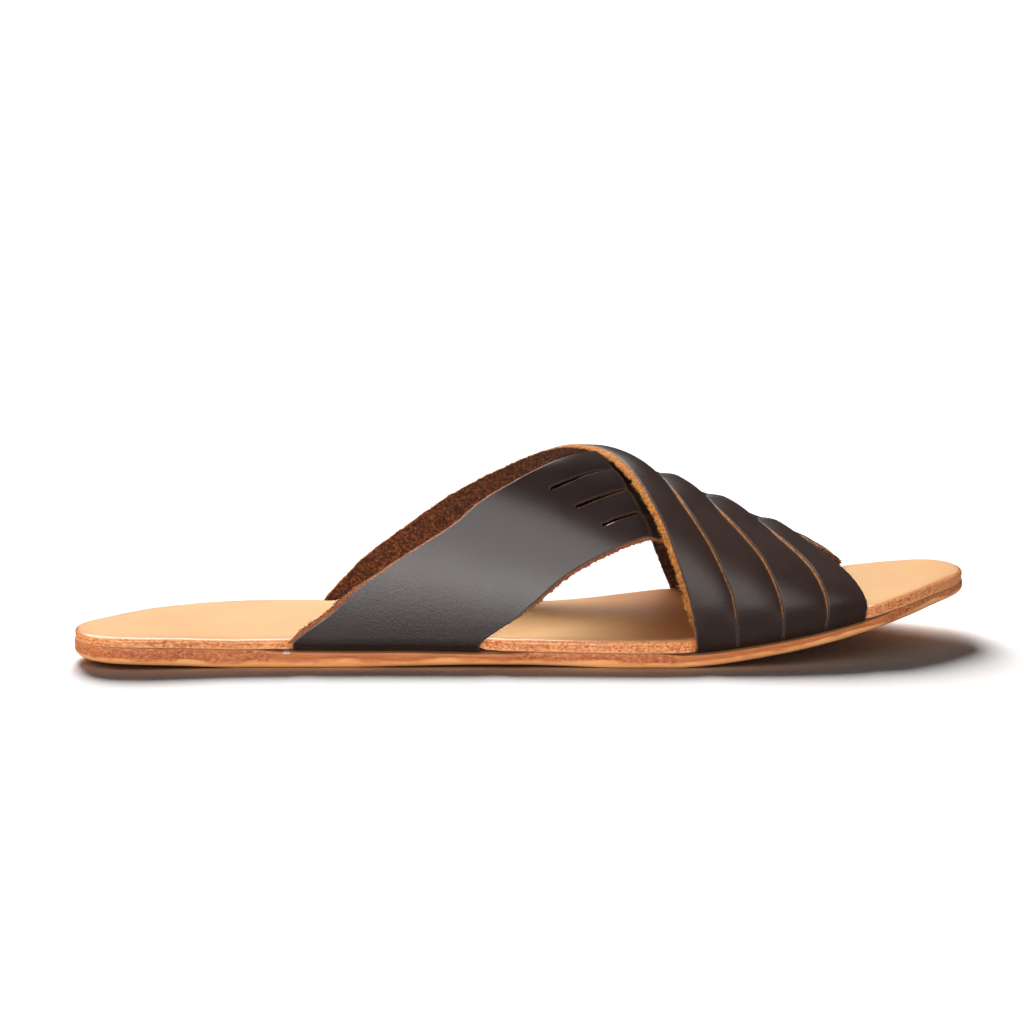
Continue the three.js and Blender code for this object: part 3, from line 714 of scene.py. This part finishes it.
def fibres(edges):
    """short leather fibres that stand out of the flesh corner of the raw edges"""
    hv, hf = [], []
    c = 0
    for skin, flesh, out, n, dv, T, outer, o, which in edges:
        if not outer:
            continue
        seg = np.linalg.norm(np.diff(skin, axis=0), axis=1)
        s = np.concatenate([[0], np.cumsum(seg)])
        clump = Waves(2.0, 12, 20)
        total = int(s[-1] * 12)
        for _ in range(total):
            q = rng.uniform(0, s[-1])
            i = min(int(np.searchsorted(s, q, side="right")) - 1, len(seg) - 1)
            if T[i] < 1.5 or T[i] > 178.5:
                continue
            if rng.uniform() > 0.35 + 0.65 * (clump(np.array(q)) > 0):
                continue
            t = (q - s[i]) / max(seg[i], 1e-6)
            low = min(1.0, rng.beta(7.0, 0.8))
            root = (skin[i] * (1 - low) + flesh[i] * low) * (1 - t) + (skin[i + 1] * (1 - low) + flesh[i + 1] * low) * t
            d = out[i] * rng.uniform(0.5, 1.0) - n[i] * rng.uniform(-0.1, 0.9) * low + dv[i] * rng.normal() * 0.55
            d = d / np.linalg.norm(d)
            length = min(0.28 + rng.gamma(1.6, 0.22), 1.6)
            w = rng.uniform(0.06, 0.18) * (0.6 if length > 0.9 else 1.0)
            bend = (rng.normal(size=3)) * 0.35
            a = np.cross(d, [0.3, 0.5, 0.8])
            a /= np.linalg.norm(a)
            b = np.cross(d, a)
            p0 = root - d * 0.18
            pts = []
            for h, ww in ((0.0, 1.25), (0.5, 0.8)):
                ctr = p0 + d * (length + 0.18) * h + bend * length * h * h * 0.5
                for g in range(3):
                    an = g * 2 * math.pi / 3
                    pts.append(ctr + (a * math.cos(an) + b * math.sin(an)) * w * ww)
            pts.append(p0 + d * (length + 0.18) + bend * length * 0.5)
            hv.append(np.array(pts))
            for g in range(3):
                g2 = (g + 1) % 3
                hf.append((c + g, c + g2, c + 3 + g2, c + 3 + g))
                hf.append((c + 3 + g, c + 3 + g2, c + 6, -1))
            hf.append((c + 2, c + 1, c, -1))
            c += 7
    return np.concatenate(hv), np.array(hf)


# ------------------------------------------------------------------ materials
def srgb(r, g, b, tone=0.8):
    def lin(c):
        c /= 255.0
        return c / 12.92 if c <= 0.04045 else ((c + 0.055) / 1.055) ** 2.4
    return (lin(r) * tone, lin(g) * tone, lin(b) * tone, 1.0)


class Mat:
    def __init__(self, name):
        self.m = bpy.data.materials.new(name)
        self.m.use_nodes = True
        self.t = self.m.node_tree
        self.t.nodes.clear()
        self.out = self.n("ShaderNodeOutputMaterial")
        self.b = self.n("ShaderNodeBsdfPrincipled")
        self.t.links.new(self.b.outputs[0], self.out.inputs[0])
        self.coord = self.n("ShaderNodeTexCoord").outputs["Object"]

    def n(self, kind, **props):
        node = self.t.nodes.new(kind)
        for k, v in props.items():
            setattr(node, k, v)
        return node

    def put(self, socket, value):
        if isinstance(value, bpy.types.NodeSocket):
            self.t.links.new(value, socket)
        else:
            socket.default_value = value

    def scaled(self, sx, sy, sz, vec=None):
        m = self.n("ShaderNodeMapping")
        self.put(m.inputs["Vector"], vec or self.coord)
        m.inputs["Scale"].default_value = (sx, sy, sz)
        return m.outputs[0]

    def noise(self, scale, detail=3, rough=0.55, vec=None, distort=0.0):
        m = self.n("ShaderNodeTexNoise")
        self.put(m.inputs["Vector"], vec or self.coord)
        m.inputs["Scale"].default_value = scale
        m.inputs["Detail"].default_value = detail
        m.inputs["Roughness"].default_value = rough
        m.inputs["Distortion"].default_value = distort
        return m.outputs["Fac"]

    def cells(self, scale, vec=None, feature="F1", out="Distance", rand=1.0):
        m = self.n("ShaderNodeTexVoronoi", feature=feature)
        self.put(m.inputs["Vector"], vec or self.coord)
        m.inputs["Scale"].default_value = scale
        m.inputs["Randomness"].default_value = rand
        return m.outputs[out]

    def attr(self, name):
        return self.n("ShaderNodeAttribute", attribute_name=name).outputs["Fac"]

    def ramp(self, fac, *stops, mode="LINEAR"):
        r = self.n("ShaderNodeValToRGB")
        r.color_ramp.interpolation = mode
        e = r.color_ramp.elements
        while len(e) < len(stops):
            e.new(0.5)
        for el, (pos, col) in zip(e, stops):
            el.position = pos
            el.color = col if isinstance(col, tuple) else (col, col, col, 1)
        self.put(r.inputs[0], fac)
        return r.outputs[0]

    def mix(self, fac, a, b, mode="MIX"):
        m = self.n("ShaderNodeMix", data_type="RGBA", blend_type=mode)
        self.put(m.inputs[0], fac)
        self.put(m.inputs[6], a)
        self.put(m.inputs[7], b)
        return m.outputs[2]

    def math(self, op, a, b=0.0, clamp=False):
        m = self.n("ShaderNodeMath", operation=op)
        m.use_clamp = clamp
        self.put(m.inputs[0], a)
        self.put(m.inputs[1], b)
        return m.outputs[0]

    def span(self, v, lo, hi, a=0.0, b=1.0):
        m = self.n("ShaderNodeMapRange", interpolation_type="SMOOTHSTEP")
        self.put(m.inputs[0], v)
        for i, q in enumerate((lo, hi, a, b)):
            m.inputs[i + 1].default_value = q
        return m.outputs[0]

    def bump(self, height, distance, strength=1.0, normal=None):
        m = self.n("ShaderNodeBump")
        m.inputs["Strength"].default_value = strength
        m.inputs["Distance"].default_value = distance
        self.put(m.inputs["Height"], height)
        if normal is not None:
            self.put(m.inputs["Normal"], normal)
        return m.outputs[0]

    def set(self, **kw):
        names = {"color": "Base Color", "rough": "Roughness", "normal": "Normal", "spec": "Specular IOR Level", "sheen": "Sheen Weight",
                 "sheen_rough": "Sheen Roughness", "sheen_tint": "Sheen Tint", "coat": "Coat Weight", "coat_rough": "Coat Roughness", "ior": "IOR"}
        for k, v in kw.items():
            self.put(self.b.inputs[names[k]], v)
        return self.m


def strap_grain(name, lo, hi, spec, rough_lo, rough_hi, deep):
    m = Mat(name)
    big = m.noise(28, 3, 0.5)
    mid = m.noise(160, 4, 0.6)
    fine = m.noise(2600, 3, 0.6)
    pore = m.cells(1500, feature="SMOOTH_F1")
    col = m.ramp(big, (0.30, srgb(*lo)), (0.70, srgb(*hi)))
    col = m.mix(m.span(mid, 0.35, 0.75, 0.0, 0.35), col, srgb(*[c * 0.8 for c in lo]))
    col = m.mix(m.span(fine, 0.40, 0.68, 0.0, 0.25), col, srgb(*[c * 1.3 for c in hi]))
    # painted highlight: a paler grey line along a cut edge's corner
    near = m.span(m.attr("edge"), 0.12, 0.55, 1.0, 0.0)
    col = m.mix(m.math("MULTIPLY", near, 0.35), col, srgb(120, 108, 102))
    h = m.math("ADD", m.math("MULTIPLY", fine, 0.45), m.math("MULTIPLY", pore, 0.8))
    h = m.math("ADD", h, m.math("MULTIPLY", m.noise(420, 3, 0.5), 0.3))
    nrm = m.bump(h, 0.00006, deep)
    rough = m.span(m.noise(60, 3, 0.6), 0.3, 0.7, rough_lo, rough_hi)
    return m.set(color=col, rough=rough, normal=nrm, spec=spec)


def cut_edge(name, lo, mid, hi, dark, soft=0.2, painted_shade_lip=None):
    m = Mat(name)
    lip = m.attr("lip")
    fib = m.noise(1.0, 4, 0.7, vec=m.scaled(1500, 1500, 900))
    spk = m.noise(900, 4, 0.7)
    col = m.ramp(fib, (0.30, srgb(*lo)), (0.50, srgb(*mid)), (0.70, srgb(*hi)))
    col = m.mix(m.span(spk, 0.50, 0.66, 0.0, 0.6), col, srgb(*dark))
    col = m.mix(m.span(lip, 0.02, 0.14, 0.75, 0.0), col, srgb(70, 50, 42))
    col = m.mix(m.span(lip, 0.70, 1.0, 0.0, 0.4), col, srgb(*dark))
    # painted shade: in a slit, the wall turns to the dark colour from this lip level down to the flesh side
    if painted_shade_lip is not None:
        col = m.mix(m.span(lip, painted_shade_lip * 0.5, painted_shade_lip, 0.0, 1.0), col, srgb(*dark))
    nrm = m.bump(m.math("ADD", fib, m.math("MULTIPLY", spk, 0.8)), 0.00022, 0.9)
    return m.set(color=col, rough=0.88, normal=nrm, spec=soft, sheen=soft, sheen_rough=0.6)


def flesh_side():
    m = Mat("strap_flesh")
    a = m.noise(1000, 4, 0.75)
    b = m.noise(60, 3, 0.6)
    col = m.ramp(a, (0.34, srgb(44, 21, 10)), (0.50, srgb(98, 50, 24)), (0.66, srgb(176, 108, 56)))
    col = m.mix(m.span(b, 0.35, 0.7, 0.0, 0.35), col, srgb(60, 29, 14))
    nrm = m.bump(a, 0.00035, 1.0)
    return m.set(color=col, rough=0.95, normal=nrm, spec=0.12, sheen=0.5, sheen_rough=0.5)


def fibre_mat(name, lo, hi):
    m = Mat(name)
    col = m.ramp(m.noise(700, 2, 0.5), (0.3, srgb(*lo)), (0.7, srgb(*hi)))
    return m.set(color=col, rough=0.85, spec=0.2)


def insole_mat():
    m = Mat("insole_leather")
    side = m.attr("side")
    h = m.attr("h")
    deep = m.attr("deep")
    arc = m.attr("arc")
    # top face
    big = m.noise(14, 4, 0.55)
    mid = m.noise(70, 4, 0.6)
    fine = m.noise(1100, 4, 0.65)
    streak = m.noise(1.0, 4, 0.6, vec=m.scaled(45, 240, 240))
    top = m.ramp(big, (0.32, srgb(250, 190, 124)), (0.68, srgb(255, 206, 143)))
    top = m.mix(m.span(mid, 0.45, 0.75, 0.0, 0.30), top, srgb(236, 180, 130))
    top = m.mix(m.span(streak, 0.52, 0.75, 0.0, 0.18), top, srgb(226, 168, 118))
    top = m.mix(m.span(fine, 0.55, 0.75, 0.0, 0.16), top, srgb(214, 150, 100))
    # painted shade under and before the front strap, and a darker tone towards the toe
    top = m.mix(m.math("MULTIPLY", m.attr("worn"), 0.86), top, srgb(168, 92, 38))
    rim = m.span(deep, 1.0, 5.0, 0.55, 0.0)
    top = m.mix(rim, top, srgb(232, 164, 116))
    # burnished side: reddish, with paler flecks and a pale line at the foot
    e1 = m.noise(1.0, 4, 0.75, vec=m.scaled(950, 950, 1500))
    e2 = m.noise(170, 4, 0.6)
    edge = m.ramp(e1, (0.37, srgb(166, 72, 28, 0.9)), (0.47, srgb(216, 124, 64, 0.95)), (0.58, srgb(244, 174, 110, 1.0)))
    edge = m.mix(m.span(e2, 0.4, 0.7, 0.0, 0.5), edge, srgb(222, 148, 98))
    edge = m.mix(m.span(h, 0.84, 0.97, 0.0, 0.7), edge, srgb(228, 176, 126))
    edge = m.mix(m.span(h, 0.06, 0.26, 0.35, 0.0), edge, srgb(214, 130, 88))
    col = m.mix(side, top, edge)
    hh = m.math("ADD", m.math("MULTIPLY", fine, 0.5), m.math("MULTIPLY", m.noise(330, 3, 0.5), 0.5))
    hh = m.math("ADD", hh, m.math("MULTIPLY", m.math("MULTIPLY", e1, side), 1.6))
    nrm = m.bump(hh, 0.00007, 0.6)
    shiny = m.span(h, 0.02, 0.10, 0.0, 1.0)
    shiny = m.math("MULTIPLY", shiny, m.span(h, 0.34, 0.24, 0.0, 1.0))
    rough = m.mix(shiny, (0.46, 0.46, 0.46, 1), (0.24, 0.24, 0.24, 1))
    rough = m.mix(m.span(h, 0.36, 0.5, 0.0, 1.0), rough, (0.60, 0.60, 0.60, 1))
    return m.set(color=col, rough=rough, normal=nrm, spec=0.5, coat=0.12, coat_rough=0.25)


def outsole_mat():
    m = Mat("outsole_leather")
    h = m.attr("h")
    seat_a = m.attr("seat")
    f1 = m.noise(1.0, 5, 0.8, vec=m.scaled(760, 760, 1150))
    f2 = m.noise(1.0, 4, 0.7, vec=m.scaled(1300, 1300, 1900))
    big = m.noise(48, 4, 0.6)
    fib = m.ramp(f1, (0.36, srgb(146, 56, 20)), (0.46, srgb(190, 94, 44, 0.85)), (0.56, srgb(216, 130, 72, 0.9)), (0.70, srgb(244, 180, 118, 0.95)))
    fib = m.mix(m.span(f2, 0.50, 0.66, 0.0, 0.55), fib, srgb(148, 64, 38))
    fib = m.mix(m.span(f2, 0.42, 0.30, 0.0, 0.45), fib, srgb(240, 196, 146))
    fib = m.mix(m.span(big, 0.40, 0.65, 0.0, 0.3), fib, srgb(222, 138, 84, 0.9))
    smoothed = m.ramp(m.noise(1.0, 4, 0.6, vec=m.scaled(90, 90, 700)), (0.35, srgb(196, 108, 56, 0.85)), (0.62, srgb(216, 130, 72, 0.9)))
    pale = m.span(m.noise(130, 3, 0.6), 0.60, 0.72, 0.0, 0.6)
    smoothed = m.mix(pale, smoothed, srgb(234, 186, 138))
    side = m.mix(m.span(seat_a, 0.35, 0.95, 0.0, 0.85), fib, smoothed)
    # the rounded foot: its own paler tan, painted brighter still as light bounced up from the floor
    foot = m.ramp(m.noise(1.0, 3, 0.6, vec=m.scaled(60, 60, 500)), (0.35, srgb(240, 160, 94, 1.0)), (0.65, srgb(255, 190, 124, 1.0)))
    wave = m.math("ADD", h, m.math("MULTIPLY", m.math("SUBTRACT", m.noise(120, 2, 0.5), 0.5), 0.25))
    col = m.mix(m.span(wave, 0.60, 0.74, 0.0, 1.0), side, foot)
    under = m.ramp(m.noise(300, 5, 0.7), (0.35, srgb(186, 122, 76)), (0.65, srgb(214, 154, 104)))
    col = m.mix(m.span(h, 1.005, 1.03, 0.0, 1.0), col, under)
    col = m.mix(m.span(h, 0.0, 0.03, 1.0, 0.0), col, srgb(222, 160, 108))
    col = m.mix(m.span(m.attr("glue"), 0.35, 0.7, 0.0, 0.9), col, srgb(226, 224, 222, 0.95))
    hh = m.math("ADD", f1, m.math("MULTIPLY", f2, 0.9))
    keep = m.span(wave, 0.58, 0.72, 1.0, 0.06)
    keep = m.math("MULTIPLY", keep, m.span(seat_a, 0.3, 0.95, 1.0, 0.35))
    nrm = m.bump(m.math("MULTIPLY", hh, keep), 0.00016, 0.9)
    rough = m.mix(m.span(wave, 0.60, 0.74, 0.0, 1.0), (0.62, 0.62, 0.62, 1), (0.36, 0.36, 0.36, 1))
    return m.set(color=col, rough=rough, normal=nrm, spec=0.45, coat=0.08, coat_rough=0.3)


def floor_mat():
    m = Mat("floor_white")
    return m.set(color=(0.86, 0.86, 0.86, 1), rough=0.9, spec=0.1)


# ------------------------------------------------------------------ pieces
GRAIN_A = strap_grain("strap_a_grain", (42, 31, 28), (50, 36, 32), 0.5, 0.285, 0.30, 0.32)
GRAIN_B = strap_grain("strap_b_grain", (43, 29, 25), (53, 37, 31), 0.30, 0.38, 0.43, 0.50)
# strap a's cut edge is a darker copy of strap b's: painted shade
CUT_A_SHADED = cut_edge("strap_a_cut_edge_shaded", (84, 38, 12), (152, 78, 28), (212, 128, 58), (60, 26, 9))
CUT_B = cut_edge("strap_b_cut_edge", (132, 72, 24), (204, 126, 50), (240, 174, 88), (118, 60, 20))
# strap a's slit walls: a dark copy of the cut edge, painted shade inside the slits
SLIT_A_SHADE = cut_edge("strap_a_slit_shade", (62, 30, 14), (104, 54, 26), (150, 84, 42), (9, 5, 4), 0.0, 0.42)
FLESH = flesh_side()
# strap a's fibres are a darker copy of strap b's: painted shade
FIBRE_A_SHADED = fibre_mat("strap_a_fibre_shaded", (104, 52, 22), (176, 102, 48))
FIBRE_B = fibre_mat("strap_b_fibre", (186, 112, 44), (240, 172, 88))

v, f, a, _ = build_outsole()
outsole = make_object("outsole_leather", v, f, [outsole_mat()], attrs=a)
v, f, a, _ = build_insole()
insole = make_object("insole_leather", v, f, [insole_mat()], attrs=a)
v, f, a, m = build_strap(LINE_A, SLIT_END_A, False, offset_a, 0.34, (1.3, 0.35, 1.4))
strap_a = make_object("strap_a", v, f, [GRAIN_A, CUT_A_SHADED, FLESH, FIBRE_A_SHADED, SLIT_A_SHADE], m, a, sharp=50)
v, f, a, m = build_strap(LINE_B, SLIT_END_B, True, offset_b, 0.62, (1.5, 0.5, 0.2))
strap_b = make_object("strap_b", v, f, [GRAIN_B, CUT_B, FLESH, FIBRE_B, CUT_B], m, a, sharp=50)

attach(outsole, "root")
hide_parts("outsole")
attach(insole, "root")
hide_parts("insole")
for piece in (strap_a, strap_b):
    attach(piece, "root")
    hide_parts("upper")

# ------------------------------------------------------------------ floor and light
fl = bpy.data.meshes.new("floor")
fl.from_pydata([(-6, -6, -0.00005), (6, -6, -0.00005), (6, 6, -0.00005), (-6, 6, -0.00005)], [], [(0, 1, 2, 3)])
floor = bpy.data.objects.new("floor", fl)
floor.data.materials.append(floor_mat())
scene.collection.objects.link(floor)
floor.visible_glossy = False

world = bpy.data.worlds.new("studio")
scene.world = world
world.use_nodes = True
bg = world.node_tree.nodes["Background"]
bg.inputs[0].default_value = (1, 1, 1, 1)
bg.inputs[1].default_value = 0.07


def soft_sun(name, towards, angle, strength):
    """a broad even light from that direction, like a large softbox"""
    d = bpy.data.lights.new(name, "SUN")
    d.angle = math.radians(angle)
    d.energy = strength
    d.color = (1.0, 0.97, 0.955)
    o = bpy.data.objects.new(name, d)
    o.rotation_euler = Vector(towards).to_track_quat("Z", "Y").to_euler()
    scene.collection.objects.link(o)
    return o


# the sandal has a light above and behind and one low in front; a low one from behind lights the floor
def group(name, *members):
    c = bpy.data.collections.new(name)
    for o in members:
        c.objects.link(o)
    return c


def shine(name, towards, angle, strength, on, blocked_by=None):
    o = soft_sun(name, towards, angle, strength)
    o.light_linking.receiver_collection = on
    if blocked_by is not None:
        o.light_linking.blocker_collection = blocked_by
    return o


SANDAL = group("sandal_only", outsole, insole, strap_a, strap_b)
SOLES = group("soles_only", outsole, insole)
shine("top", (-0.22, 0.50, 0.84), 56, 4.4, SANDAL)
shine("front", (-0.36, -0.90, 0.22), 36, 3.0, SOLES)
shine("front_straps", (0.16, -0.76, 0.63), 50, 2.6, group("front_strap", strap_b))
shine("front_broad", (-0.13, -0.92, 0.36), 52, 2.1, group("rear_strap", strap_a))
shine("front_horizon", (-0.16, -0.986, 0.035), 14, 0.34, group("rear_strap_too", strap_a))
shine("low", (-0.04, 0.90, 0.42), 26, 9.4, group("floor_only", floor), SOLES)
wall = bpy.data.meshes.new("backdrop")
wall.from_pydata([(-8, 5.9, -0.2), (8, 5.9, -0.2), (8, 5.9, 4), (-8, 5.9, 4)], [], [(0, 1, 2, 3)])
backdrop = bpy.data.objects.new("backdrop", wall)
glow = bpy.data.materials.new("backdrop_white")
glow.use_nodes = True
gb = glow.node_tree.nodes["Principled BSDF"]
gb.inputs["Base Color"].default_value = (0.8, 0.8, 0.8, 1)
gb.inputs["Emission Color"].default_value = (1, 1, 1, 1)
gb.inputs["Emission Strength"].default_value = 1.0
backdrop.data.materials.append(glow)
scene.collection.objects.link(backdrop)
backdrop.visible_glossy = False
backdrop.visible_diffuse = False

scene.view_settings.view_transform = "Standard"
scene.view_settings.look = "None"
scene.view_settings.exposure = 0.0
scene.view_settings.gamma = 1.0
